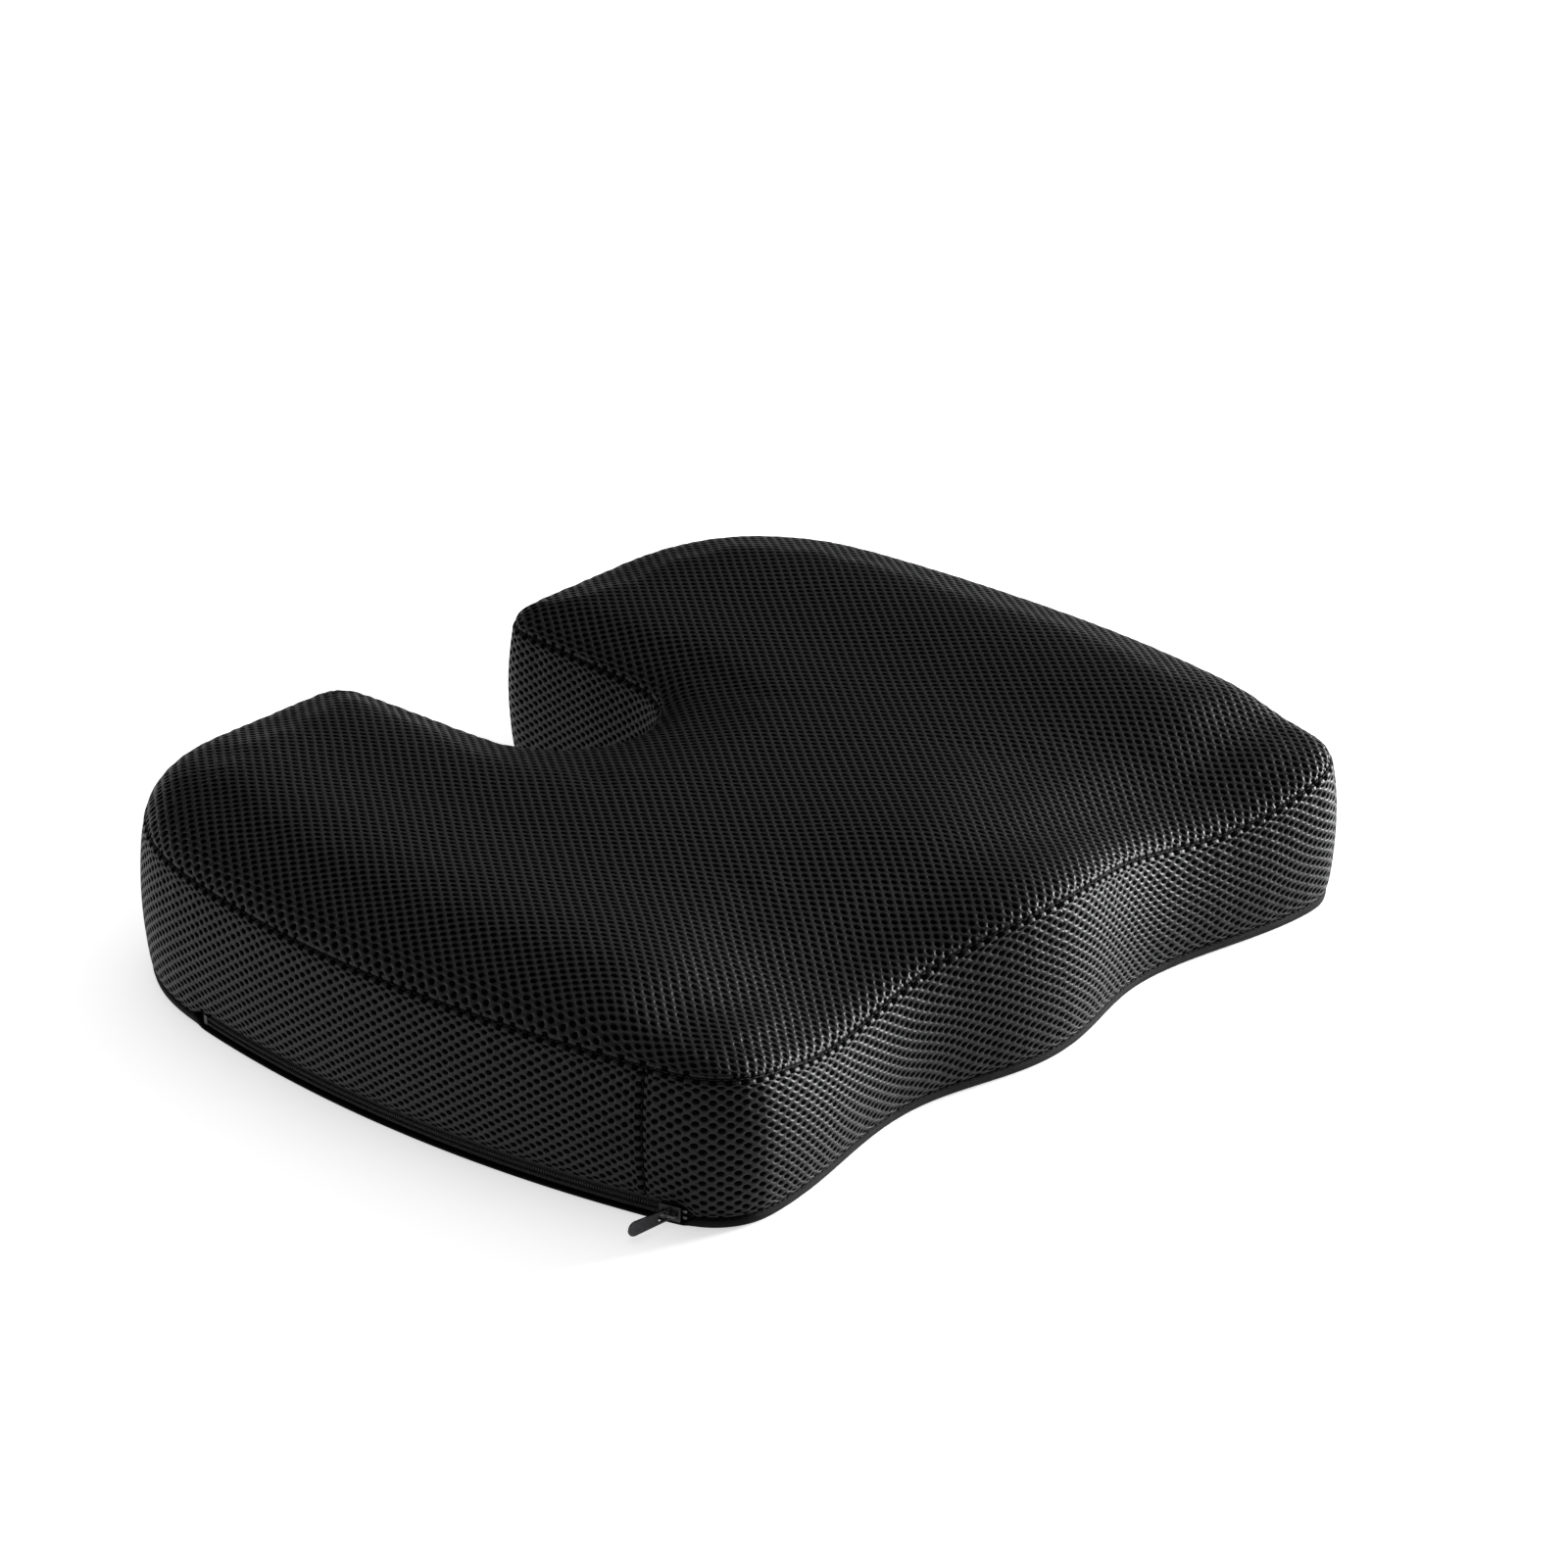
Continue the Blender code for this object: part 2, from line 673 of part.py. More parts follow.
def main():
    clear_scene()
    home = new_collection("seat_cushion")
    cutters = new_collection("cutters")
    outline, right_seam, left_seam = full_outline()
    count = len(outline)

    make_foam(outline, home)
    make_top_panel(outline, home)
    make_bottom_panel(outline, home)
    front = make_boxing("front_boxing", outline.stretch(left_seam, right_seam + count), home)
    rear = make_boxing("rear_boxing", outline.stretch(right_seam, left_seam), home)
    make_top_seam(outline, home)
    make_bottom_seam(outline, home)
    above_bottom_seam = BASE_CLOTH + 2 * THREAD_LIFT + THREAD_RADIUS
    make_upright_seam("right_seam_thread", outline, right_seam, above_bottom_seam, home)
    above_tape = ZIP_TOP + TAPE_HIDDEN + GAP
    make_upright_seam("left_seam_thread", outline, left_seam, above_tape, home)

    make_zip(home)
    cut_zip_window((front, rear), cutters)
    axis = bpy.data.objects.new("zip_axis", None)
    home.objects.link(axis)
    axis.location = (SIDE_CENTRE_X, 0, ZIP_Z)
    axis.rotation_euler = (0, 0, pi / 2 + SLIDER_TURN)
    slider = make_slider(axis, home)
    make_pull(slider, home)


main()
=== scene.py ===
import json
from math import cos, exp, pi, radians, sin

import bmesh
import bpy
import numpy as np
from mathutils import Matrix, Vector
from mathutils.kdtree import KDTree


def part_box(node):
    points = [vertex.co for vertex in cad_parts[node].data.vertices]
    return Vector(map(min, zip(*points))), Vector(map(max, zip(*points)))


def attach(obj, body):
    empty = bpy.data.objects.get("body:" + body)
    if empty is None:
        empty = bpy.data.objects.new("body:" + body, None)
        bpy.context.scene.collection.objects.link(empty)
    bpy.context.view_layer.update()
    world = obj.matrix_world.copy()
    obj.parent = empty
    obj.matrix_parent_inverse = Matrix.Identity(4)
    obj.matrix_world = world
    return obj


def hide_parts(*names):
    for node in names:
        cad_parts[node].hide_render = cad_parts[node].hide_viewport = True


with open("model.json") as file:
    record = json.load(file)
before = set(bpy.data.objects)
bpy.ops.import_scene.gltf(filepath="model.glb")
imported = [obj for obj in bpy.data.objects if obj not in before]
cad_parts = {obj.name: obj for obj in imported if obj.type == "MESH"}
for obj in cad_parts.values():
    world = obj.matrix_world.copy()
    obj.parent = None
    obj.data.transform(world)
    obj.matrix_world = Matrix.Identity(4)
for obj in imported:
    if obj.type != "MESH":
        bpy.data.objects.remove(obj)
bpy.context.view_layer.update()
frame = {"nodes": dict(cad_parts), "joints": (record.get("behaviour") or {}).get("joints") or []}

nodes = frame["nodes"]


# The view: the cushion stands on a pale studio floor and is seen from above its left front
# corner through a long lens, which keeps its far side nearly as wide as its near one.

VIEW_AZIMUTH = radians(-48.1)
VIEW_ELEVATION = radians(25.58)
VIEW_DISTANCE = 2.292
VIEW_LENS = 120.9
VIEW_TARGET = Vector((0.0705, 0.0295, 0.030))

back = Vector((sin(VIEW_AZIMUTH), -cos(VIEW_AZIMUTH), 0)) * cos(VIEW_ELEVATION)
back.z = sin(VIEW_ELEVATION)
camera_data = bpy.data.cameras.new("studio_camera")
camera_data.lens = VIEW_LENS
camera_data.sensor_width = 36
camera = bpy.data.objects.new("studio_camera", camera_data)
camera.location = VIEW_TARGET + back * VIEW_DISTANCE
camera.rotation_euler = back.to_track_quat("Z", "Y").to_euler()
bpy.context.scene.collection.objects.link(camera)
bpy.context.scene.camera = camera


# The cover's cloth: a black spacer mesh, two knitted polyester faces held 3 mm apart by fine
# yarns. Its outer face is an open net of round-cornered holes, staggered from row to row.
# Its colour holds painted light: painted glints on the yarns, painted shade at the holes' rims, and
# a black shader without reflection in the holes as painted shade over the dark backing.


class Wire:
    """A value between two nodes of a finish. Arithmetic on it adds Math nodes."""

    def __init__(self, finish, socket):
        self.finish = finish
        self.socket = socket

    def maths(self, operation, *values):
        inputs = dict(enumerate(values))
        return self.finish.add("ShaderNodeMath", {"operation": operation}, inputs)

    def __add__(self, other):
        return self.maths("ADD", self, other)

    def __sub__(self, other):
        return self.maths("SUBTRACT", self, other)

    def __rsub__(self, other):
        return self.maths("SUBTRACT", other, self)

    def __mul__(self, other):
        return self.maths("MULTIPLY", self, other)

    def __truediv__(self, other):
        return self.maths("DIVIDE", self, other)

    def __pow__(self, other):
        return self.maths("POWER", self, other)

    __radd__ = __add__
    __rmul__ = __mul__

    def sine(self):
        return self.maths("SINE", self)

    def wave(self, pitch):
        """A sine wave from -1 to 1 with its crests a pitch apart."""
        return (self * (2 * pi / pitch)).sine()

    def fraction(self):
        return self.maths("FRACT", self)

    def least(self, other):
        return self.maths("MINIMUM", self, other)

    def rise(self, start, end):
        """0 up to start and 1 from end, with a smooth change between them."""
        settings = {"interpolation_type": "SMOOTHSTEP"}
        inputs = {"Value": self, "From Min": start, "From Max": end}
        return self.finish.add("ShaderNodeMapRange", settings, inputs)


class Finish:
    """A material drawn up from nodes."""

    def __init__(self, name, **shader_values):
        self.material = bpy.data.materials.new(name)
        self.material.use_nodes = True
        self.tree = self.material.node_tree
        self.tree.nodes.clear()
        self.shader = self.add("ShaderNodeBsdfPrincipled", {}, shader_values).socket.node
        self.end = self.tree.nodes.new("ShaderNodeOutputMaterial")
        self.tree.links.new(self.shader.outputs[0], self.end.inputs["Surface"])

    def add(self, kind, settings, inputs, output=0):
        node = self.tree.nodes.new(kind)
        for name, value in settings.items():
            setattr(node, name, value)
        for name, value in inputs.items():
            name = name.replace("_", " ") if isinstance(name, str) else name
            self.feed(node.inputs[name], value)
        return Wire(self, node.outputs[output])

    def feed(self, socket, value):
        if isinstance(value, Wire):
            self.tree.links.new(value.socket, socket)
        elif isinstance(value, tuple) and len(value) == 3 and socket.type == "RGBA":
            socket.default_value = (*value, 1)
        else:
            socket.default_value = value

    def set(self, **inputs):
        for name, value in inputs.items():
            self.feed(self.shader.inputs[name.replace("_", " ")], value)

    def own_places(self):
        """The piece's own coordinates in metres, as a vector."""
        return self.add("ShaderNodeTexCoord", {}, {}, "Object")

    def cut_places(self):
        """The place on the flat cut panel in metres, as a vector."""
        return self.add("ShaderNodeUVMap", {"uv_map": "cut"}, {})

    def parts(self, vector):
        split = self.add("ShaderNodeSeparateXYZ", {}, {"Vector": vector}).socket.node
        return [Wire(self, socket) for socket in split.outputs]

    def vector(self, x, y):
        return self.add("ShaderNodeCombineXYZ", {}, {"X": x, "Y": y})

    def noise(self, places, pitch, detail):
        """Smooth noise from 0 to 1 whose lumps are about a pitch apart."""
        inputs = {"Vector": places, "Scale": 1 / pitch, "Detail": detail}
        return self.add("ShaderNodeTexNoise", {}, inputs)

    def blend(self, share, low, high):
        """A colour between two colours."""
        settings = {"data_type": "RGBA"}
        node = self.add("ShaderNodeMix", settings, {"Factor": share}).socket.node
        self.feed(node.inputs[6], low)
        self.feed(node.inputs[7], high)
        return Wire(self, node.outputs[2])

    def bumps(self, height, depth):
        """A normal for a height from 0 to 1 that stands depth metres high."""
        inputs = {"Height": height, "Distance": depth, "Strength": 1.0}
        return self.add("ShaderNodeBump", {}, inputs)


NET_RELIEF = 0.0004  # how far the yarns between the holes stand up
LOOP_PITCH = 0.0009  # from one knitted loop to the next along a yarn
LOOP_SWAY_PITCH = 0.0011  # from one sway of the yarn to the next


def net_cloth(name, hole_pitch, hole_size):
    """The spacer mesh, with its rows of holes along and across the cut panel."""
    yarn_dark = (0.0022, 0.0022, 0.0025)
    yarn_light = (0.0120, 0.0122, 0.0132)
    finish = Finish(name, Roughness=0.55, Specular_IOR_Level=0.18)
    x, y, _ = finish.parts(finish.cut_places())
    flat = finish.vector(x, y)
    drift = finish.noise(flat, pitch=0.060, detail=1) - 0.5
    jitter = finish.noise(flat, pitch=0.004, detail=1) - 0.5
    along = (x + drift * 0.004 + jitter * 0.0005) / hole_pitch[0]
    across = (y + drift * 0.003 - jitter * 0.0005) / hole_pitch[1]

    def from_hole(shift):
        """How far a place is from the nearest hole's middle, where 1 is the hole's edge."""
        ways = []
        for place, pitch, size in zip((along, across), hole_pitch, hole_size):
            ways.append(((place + shift).fraction() - 0.5) * (2 * pitch / size))
        return (ways[0] * ways[0] + ways[1] * ways[1]) ** 0.5

    away = from_hole(0.0).least(from_hole(0.5))
    hole = 1 - away.rise(start=0.88, end=1.08)
    land = away.rise(start=0.75, end=1.75)
    sway = x.wave(LOOP_SWAY_PITCH) * 1.6
    loops = (y * (2 * pi / LOOP_PITCH) + sway).sine() * 0.5 + 0.5
    # Fine noise for the yarns' fuzz: it roughens and lifts them, and in their colour it makes
    # painted glints.
    yarn_fuzz_and_painted_glints = finish.noise(flat, pitch=0.0007, detail=2)
    patchy = finish.noise(flat, pitch=0.011, detail=2)
    # The yarns' colour: the knit's loops and a patchy tone, with painted glints from the fine fuzz
    # noise and painted shade that darkens the yarns towards each hole's rim.
    lit = (loops * 0.4 + yarn_fuzz_and_painted_glints * 0.6) * land ** 1.4 * (patchy * 0.8 + 0.7)
    colour = finish.blend(lit, yarn_dark, yarn_light)
    height = land * 0.8 + loops * land * 0.12 + yarn_fuzz_and_painted_glints * land * 0.2
    relief = finish.bumps(height, NET_RELIEF)
    finish.set(Base_Color=colour, Roughness=0.62 - yarn_fuzz_and_painted_glints * 0.25, Normal=relief)

    # In the holes, a black, fully rough shader with no reflection: the dark backing layer, with
    # painted shade standing in for the hole's depth.
    backing_and_painted_hole_shade = finish.add("ShaderNodeBsdfPrincipled", {}, {
        "Base Color": (0.0015, 0.0015, 0.0018),
        "Roughness": 1.0,
        "Specular IOR Level": 0.0,
    })
    yarns = Wire(finish, finish.shader.outputs[0])
    mixed = finish.add("ShaderNodeMixShader", {}, {0: hole, 1: yarns, 2: backing_and_painted_hole_shade})
    finish.tree.links.new(mixed.socket, finish.end.inputs["Surface"])
    return finish.material


# The cover: a top panel, two side strips and a base, cut from flat cloth and sewn along their
# edges. The foam inside fills it, so each panel swells a little between its seams.

SHELL_ROWS = 12  # rows of faces from the top seam to the hem
EDGE_FALL = 0.0019  # the extra cloth in the top's rounded edge
EDGE_FALL_RUN = 0.008
CLOTH_RISE = 0.0022  # how far the cloth stands over the foam, and how soon past the seam
CLOTH_RISE_RUN = 0.003
CROWN_RISE = 0.0030  # how much fuller the top is than its cut
CROWN_RISE_SIDE = 0.0050  # what is added to that at the sides, past CROWN_SIDE
CROWN_SIDE = 0.100
CROWN_SIDE_RUN = 0.080
CROWN_RUN = 0.009
CROWN_START = 0.035  # how far behind the front edge the fuller top starts
THIGH_DROP = 0.0060  # how far the front seam dips in front of each thigh
THIGH_X = 0.138
THIGH_SPREAD = 0.038
THIGH_REACH = 0.110  # how far back the dip reaches
SIDE_BULGE = 0.003  # how far the foam already pushes the side out
SWELL_TOP = 0.0016  # the most that the filling lifts the top and the sides
SWELL_SIDE = 0.0022
SWELL_FRAMES = 20
BAND_TOP = 0.0046  # the base cloth is turned up the side as far as this
ZIP_HEAD = 0.0090  # the side's hem over the zip
HEM_RUN = 0.005  # the length along the hem in which it rises to ZIP_HEAD
HEM_OVER_TAPE = 0.004  # how much of each tape's end the low hem covers
ZIP_SIDE = -0.150  # the zip's side of the cushion lies beyond this
FLAT_ENOUGH = radians(40)  # the most that two joined triangles may lean to each other
TOP, FRONT, REAR = range(3)


def copy_of(node, name):
    """A new mesh object with a CAD node's shape, its loose triangles joined."""
    mesh = bmesh.new()
    mesh.from_mesh(nodes[node].data)
    bmesh.ops.remove_doubles(mesh, verts=mesh.verts, dist=1e-6)
    return new_piece(name, mesh)


def join_triangles(mesh):
    """Joins a CAD shape's triangles into four-sided faces."""
    bmesh.ops.join_triangles(
        mesh,
        faces=mesh.faces,
        angle_face_threshold=FLAT_ENOUGH,
        angle_shape_threshold=FLAT_ENOUGH,
    )


def new_piece(name, mesh):
    data = bpy.data.meshes.new(name)
    mesh.to_mesh(data)
    mesh.free()
    piece = bpy.data.objects.new(name, data)
    bpy.context.scene.collection.objects.link(piece)
    return piece


def make_active(piece):
    for other in bpy.context.selected_objects:
        other.select_set(False)
    piece.select_set(True)
    bpy.context.view_layer.objects.active = piece


def apply_modifier(piece, name, kind, **settings):
    make_active(piece)
    modifier = piece.modifiers.new(name, kind)
    for setting, value in settings.items():
        setattr(modifier, setting, value)
    bpy.ops.object.modifier_apply(modifier=name)


def places_of(data):
    places = np.empty(len(data.vertices) * 3)
    data.vertices.foreach_get("co", places)
    return places.reshape(-1, 3)


def put_places(data, places):
    data.vertices.foreach_set("co", places.ravel())
    data.update()


def ordered_rim(mesh):
    """The vertices round an open sheet, in order, with the sheet on their left."""
    after = {}
    for edge in mesh.edges:
        if len(edge.link_faces) == 1:
            loop = edge.link_loops[0]
            after[loop.vert] = loop.link_loop_next.vert
    start = min(after, key=lambda vert: (abs(vert.co.x), vert.co.y))
    rim = [start]
    while after[rim[-1]] is not start:
        rim.append(after[rim[-1]])
    return rim


def ways_out_of(line):
    """The level way straight out of the cushion from each place on a line round it."""
    runs = np.roll(line, -1, 0) - np.roll(line, 1, 0)
    ways = np.stack([runs[:, 1], -runs[:, 0], 0 * runs[:, 0]], 1)
    return ways / np.linalg.norm(ways, axis=1)[:, None]


def tree_of(places):
    """A search tree that finds the nearest of some places."""
    tree = KDTree(len(places))
    for i, place in enumerate(places):
        tree.insert(place, i)
    tree.balance()
    return tree


def smooth_step(share):
    share = np.clip(share, 0, 1)
    return share * share * (3 - 2 * share)


front_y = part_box("top_panel")[0].y


def thigh_dip(x, y):
    """How far the front sinks in front of the thighs."""
    front = smooth_step((front_y + THIGH_REACH - y) / THIGH_REACH)
    return THIGH_DROP * front * exp(-(((abs(x) - THIGH_X) / THIGH_SPREAD) ** 2))


# The top panel's own line on the foam is the underside of its CAD solid.
shell = copy_of("top_panel", "cover_shell")
mesh = bmesh.new()
mesh.from_mesh(shell.data)
mesh.normal_update()
upper = {vert for face in mesh.faces if face.normal.z > 0.3 for vert in face.verts}
outer_faces = [face for face in mesh.faces if any(vert in upper for vert in face.verts)]
bmesh.ops.delete(mesh, geom=outer_faces, context="FACES")
bmesh.ops.reverse_faces(mesh, faces=mesh.faces)
join_triangles(mesh)
mesh.to_mesh(shell.data)
mesh.free()
apply_modifier(shell, "fine", "SUBSURF", levels=2, render_levels=2, boundary_smooth="ALL")

# The sides hang from its edge, row by row, down to the hem.
zip_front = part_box("zip_tape_upper")[0].y + HEM_OVER_TAPE
zip_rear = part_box("zip_tape_upper")[1].y - HEM_OVER_TAPE
strip_end_y = (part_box("left_seam_thread")[0].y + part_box("left_seam_thread")[1].y) / 2


def over_zip(x, y):
    """1 where the hem runs over the zip, and 0 away from it."""
    inside = np.minimum(y - zip_front, zip_rear - y)
    return np.where(x < ZIP_SIDE, smooth_step(1 + inside / HEM_RUN), 0)


mesh = bmesh.new()
mesh.from_mesh(shell.data)
panel_layer = mesh.faces.layers.int.new("panel")
cut_layer = mesh.loops.layers.uv.new("cut")
crease_layer = mesh.edges.layers.float.new("crease_edge")
sewn_layer = mesh.verts.layers.int.new("sewn")
rim = ordered_rim(mesh)
line = np.array([vert.co for vert in rim])
ways_out = ways_out_of(line)
steps = np.linalg.norm(np.diff(line, axis=0, append=line[:1])[:, :2], axis=1)
run = np.concatenate([[0], np.cumsum(steps)])
rim_tree = tree_of([(x, y, 0) for x, y, _ in line])


def line_height(places):
    """The height of the top seam beside each place."""
    nearest = [rim_tree.find((x, y, 0))[1] for x, y, _ in places]
    return line[nearest, 2]


for vert in mesh.verts:
    away = rim_tree.find((vert.co.x, vert.co.y, 0))[2]
    at_side = smooth_step((abs(vert.co.x) - CROWN_SIDE) / CROWN_SIDE_RUN)
    vert.co.z += CLOTH_RISE * (1 - exp(-away / CLOTH_RISE_RUN))
    behind_front = smooth_step((vert.co.y - front_y - CROWN_START) / CROWN_START)
    crown = (CROWN_RISE + CROWN_RISE_SIDE * at_side) * behind_front
    vert.co.z += crown * (1 - exp(-away / CROWN_RUN))
    vert.co.z -= thigh_dip(vert.co.x, vert.co.y)
line[:, 2] = [vert.co.z for vert in rim]
for face in mesh.faces:
    for loop in face.loops:
        place = loop.vert.co
        _, i, away = rim_tree.find((place.x, place.y, 0))
        laid_flat = place + Vector(ways_out[i]) * EDGE_FALL * exp(-away / EDGE_FALL_RUN)
        loop[cut_layer].uv = laid_flat.xy
hem = BAND_TOP + (ZIP_HEAD - BAND_TOP) * over_zip(line[:, 0], line[:, 1])
row = rim
for step in range(1, SHELL_ROWS + 1):
    share = step / SHELL_ROWS
    heights = line[:, 2] + (hem - line[:, 2]) * share
    places = line + ways_out * (SIDE_BULGE * sin(pi * share) ** 0.8 if share < 1 else 0)
    places[:, 2] = heights
    below = [mesh.verts.new(place) for place in places]
    drops = (share - 1 / SHELL_ROWS, share)
    for i, vert in enumerate(row):
        face = mesh.faces.new((below[i - 1], below[i], vert, row[i - 1]))
        start, end = run[(i - 1) % len(line)], run[i or len(line)]
        for loop, along, drop in zip(face.loops, (start, end, end, start), (1, 1, 0, 0)):
            fall = (line[:, 2] - hem)[i - 1 if along == start else i]
            loop[cut_layer].uv = (along, -drops[drop] * fall)
        middle = (places[i, 1] + places[i - 1, 1]) / 2
        face[panel_layer] = FRONT if middle < strip_end_y else REAR
    row = below
foot = row
for vert in [*rim, *foot]:
    vert[sewn_layer] = 1
for edge in mesh.edges:
    panels = {face[panel_layer] for face in edge.link_faces}
    if len(panels) == 2:
        edge[crease_layer] = 1
        for vert in edge.verts:
            vert[sewn_layer] = 1
mesh.to_mesh(shell.data)
mesh.free()


# The filling presses on every panel while its sewn edges hold still.
before = places_of(shell.data)
sewn = np.empty(len(before), int)
shell.data.attributes["sewn"].data.foreach_get("value", sewn)
group = shell.vertex_groups.new(name="sewn")
group.add(np.flatnonzero(sewn).tolist(), 1, "REPLACE")
make_active(shell)
filling = shell.modifiers.new("filling", "CLOTH")
filling.settings.vertex_group_mass = "sewn"
filling.settings.use_pressure = True
filling.settings.uniform_pressure_force = 5
filling.settings.mass = 0.012
filling.settings.tension_stiffness = 12
filling.settings.bending_stiffness = 0.2
filling.settings.effector_weights.gravity = 0
filling.point_cache.frame_start = 1
filling.point_cache.frame_end = SWELL_FRAMES
for number in range(1, SWELL_FRAMES + 1):
    bpy.context.scene.frame_set(number)
bpy.ops.object.modifier_apply(modifier="filling")
bpy.context.scene.frame_set(1)
shell.vertex_groups.clear()
normals = np.empty(len(before) * 3)
after = places_of(shell.data)
put_places(shell.data, before)
shell.data.vertices.foreach_get("normal", normals)
normals = normals.reshape(-1, 3)
swell = ((after - before) * normals).sum(1)
on_top = before[:, 2] >= line_height(before) - 1e-4
most = np.where(on_top, SWELL_TOP, SWELL_SIDE)
moved = normals * np.clip(swell, 0, most)[:, None]
put_places(shell.data, before + moved)
apply_modifier(
    shell, "finer", "SUBSURF", levels=1, render_levels=1, boundary_smooth="PRESERVE_CORNERS"
)

# Each panel's edge is turned in along its seams, and the thread draws the cloth together there.
EDGE_ROLL = 0.0018  # radius of a panel's turned-in edge
EDGE_SLIT = 0.00025  # half the gap between two turned-in edges
EDGE_REACH = 0.005  # how far in from its edge a panel is drawn together
EDGE_TURNS = (30, 60, 90)
ALLOWANCE = 0.0012  # what shows of the seam allowance past the turn
CLOTH = 0.0012  # the cloth's thickness beside its seams
PUCKER_PITCH = 0.0085
PUCKER_UPRIGHT = (0.00045, 0.009)  # how high a pucker stands and how far in it lies
PUCKER_LEVEL = (0.00018, 0.006)
BAKE_SPARE = 0.012  # room at the end of a row for the face that starts in it


def panel_mesh(kind):
    """One panel of the shell, and each of its vertices' outward direction on the whole shell."""
    mesh = bmesh.new()
    mesh.from_mesh(shell.data)
    mesh.normal_update()
    layer = mesh.faces.layers.int["panel"]
    outwards = mesh.verts.layers.float_vector.new("outwards")
    for vert in mesh.verts:
        vert[outwards] = vert.normal
    others = [face for face in mesh.faces if face[layer] != kind]
    bmesh.ops.delete(mesh, geom=others, context="FACES")
    mesh.normal_update()
    return mesh, outwards


def turn_in_edges(mesh, outwards):
    """Rolls a panel's edge over to the inside, and puckers the cloth along its seams."""
    rim = ordered_rim(mesh)
    starts = np.array([vert.co for vert in rim])
    deep = np.array([-vert[outwards] for vert in rim])
    runs = np.roll(starts, -1, 0) - np.roll(starts, 1, 0)
    ways_in = np.cross([vert.normal for vert in rim], runs)
    ways_in /= np.linalg.norm(ways_in, axis=1)[:, None]
    lengths = np.cumsum(np.linalg.norm(np.roll(starts, -1, 0) - starts, axis=1))
    tree = tree_of(starts)
    for vert in mesh.verts:
        _, i, away = tree.find(vert.co)
        if away < EDGE_REACH:
            share = (1 - away / EDGE_REACH) ** 2
            vert.co += Vector(ways_in[i]) * ((EDGE_SLIT + EDGE_ROLL) * share)
        upright = abs(ways_in[i][2]) < 0.5 and abs(vert.normal.z) < 0.5
        size, reach = PUCKER_UPRIGHT if upright else PUCKER_LEVEL
        if away < 4 * reach:
            phase = lengths[i] / PUCKER_PITCH * 2 * pi
            wave = sin(phase + 1.7 * sin(phase * 0.31)) * away / reach * exp(1 - away / reach)
            vert.co += vert.normal * (size * wave)
    row = rim
    for turn in (*EDGE_TURNS, None):
        if turn is None:
            in_share, depth = 0, EDGE_ROLL + ALLOWANCE
        else:
            in_share = EDGE_ROLL * (1 - sin(radians(turn)))
            depth = EDGE_ROLL * (1 - cos(radians(turn)))
        places = starts + ways_in * (EDGE_SLIT + in_share) + deep * depth
        row = grow_row(mesh, row, places)


def grow_row(mesh, row, places):
    """A new row of faces along an edge, out to new places. Its cloth goes on from the old row's."""
    cut = mesh.loops.layers.uv["cut"]
    new_row = [mesh.verts.new(place) for place in places]
    for i in range(len(row)):
        before, this = row[i - 1], row[i]
        edge_loop = mesh.edges.get((before, this)).link_loops[0]
        uvs = {edge_loop.vert: edge_loop[cut].uv.copy()}
        uvs[edge_loop.link_loop_next.vert] = edge_loop.link_loop_next[cut].uv.copy()
        face = mesh.faces.new((this, before, new_row[i - 1], new_row[i]))
        for loop, vert in zip(face.loops, (this, before, before, this)):
            loop[cut].uv = uvs[vert]
    return new_row


def add_bake_map(piece, rows):
    """A map that fills the unit square with the cut panel, laid in rows one above another."""
    count = len(piece.data.loops)
    places = np.empty(count * 2)
    piece.data.uv_layers["cut"].data.foreach_get("uv", places)
    places = places.reshape(-1, 2)
    low, high = places.min(0), places.max(0)
    loops_in = [face.loop_total for face in piece.data.polygons]
    starts = np.array([face.loop_start for face in piece.data.polygons])
    leftmost = np.repeat(np.minimum.reduceat(places[:, 0], starts), loops_in)
    row_length = (high[0] - low[0]) / rows
    row = np.clip((leftmost - low[0]) // row_length, 0, rows - 1)
    across = (places[:, 0] - low[0] - row * row_length) / (row_length + BAKE_SPARE)
    up = (row + 0.01 + 0.98 * (places[:, 1] - low[1]) / (high[1] - low[1])) / rows
    layer = piece.data.uv_layers.new(name="OFBake")
    layer.data.foreach_set("uv", np.column_stack([across, up]).ravel())
    piece.data.uv_layers["cut"].active_render = True


def finish_panel(name, mesh, cloth, lining, node, bake_rows):
    piece = new_piece(name, mesh)
    for layer in ("outwards", "sewn", "panel", "crease_edge"):
        if layer in piece.data.attributes:
            piece.data.attributes.remove(piece.data.attributes[layer])
    add_bake_map(piece, bake_rows)
    piece.data.materials.clear()
    piece.data.materials.append(cloth)
    piece.data.materials.append(lining)
    piece.data.shade_smooth()
    apply_modifier(
        piece,
        "cloth",
        "SOLIDIFY",
        thickness=CLOTH,
        offset=-1,
        material_offset=1,
        material_offset_rim=1,
    )
    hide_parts(node)
    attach(piece, "cushion")


lining = Finish("lining", Base_Color=(0.010, 0.010, 0.011), Roughness=0.9).material
top_net = net_cloth("top_net", (0.00490, 0.00605), (0.0022, 0.0030))
side_net = net_cloth("side_net", (0.00620, 0.00455), (0.0030, 0.0021))
panels = (
    (TOP, "top_cover", top_net, "top_panel", 1),
    (FRONT, "front_side", side_net, "front_boxing", 3),
    (REAR, "rear_side", side_net, "rear_boxing", 4),
)
for kind, name, cloth, node, bake_rows in panels:
    mesh, outwards = panel_mesh(kind)
    turn_in_edges(mesh, outwards)
    finish_panel(name, mesh, cloth, lining, node, bake_rows)


# The base: a plain close-knitted cloth, flat underneath and turned up all round to meet the
# sides' hem, with its edge turned in like theirs.

BASE_FOLD = 0.0028  # radius of the fold where the base turns up
BASE_UNDER_ZIP = 0.0016  # how high the base comes under the zip
BASE_CLOTH = 0.0006  # its thickness


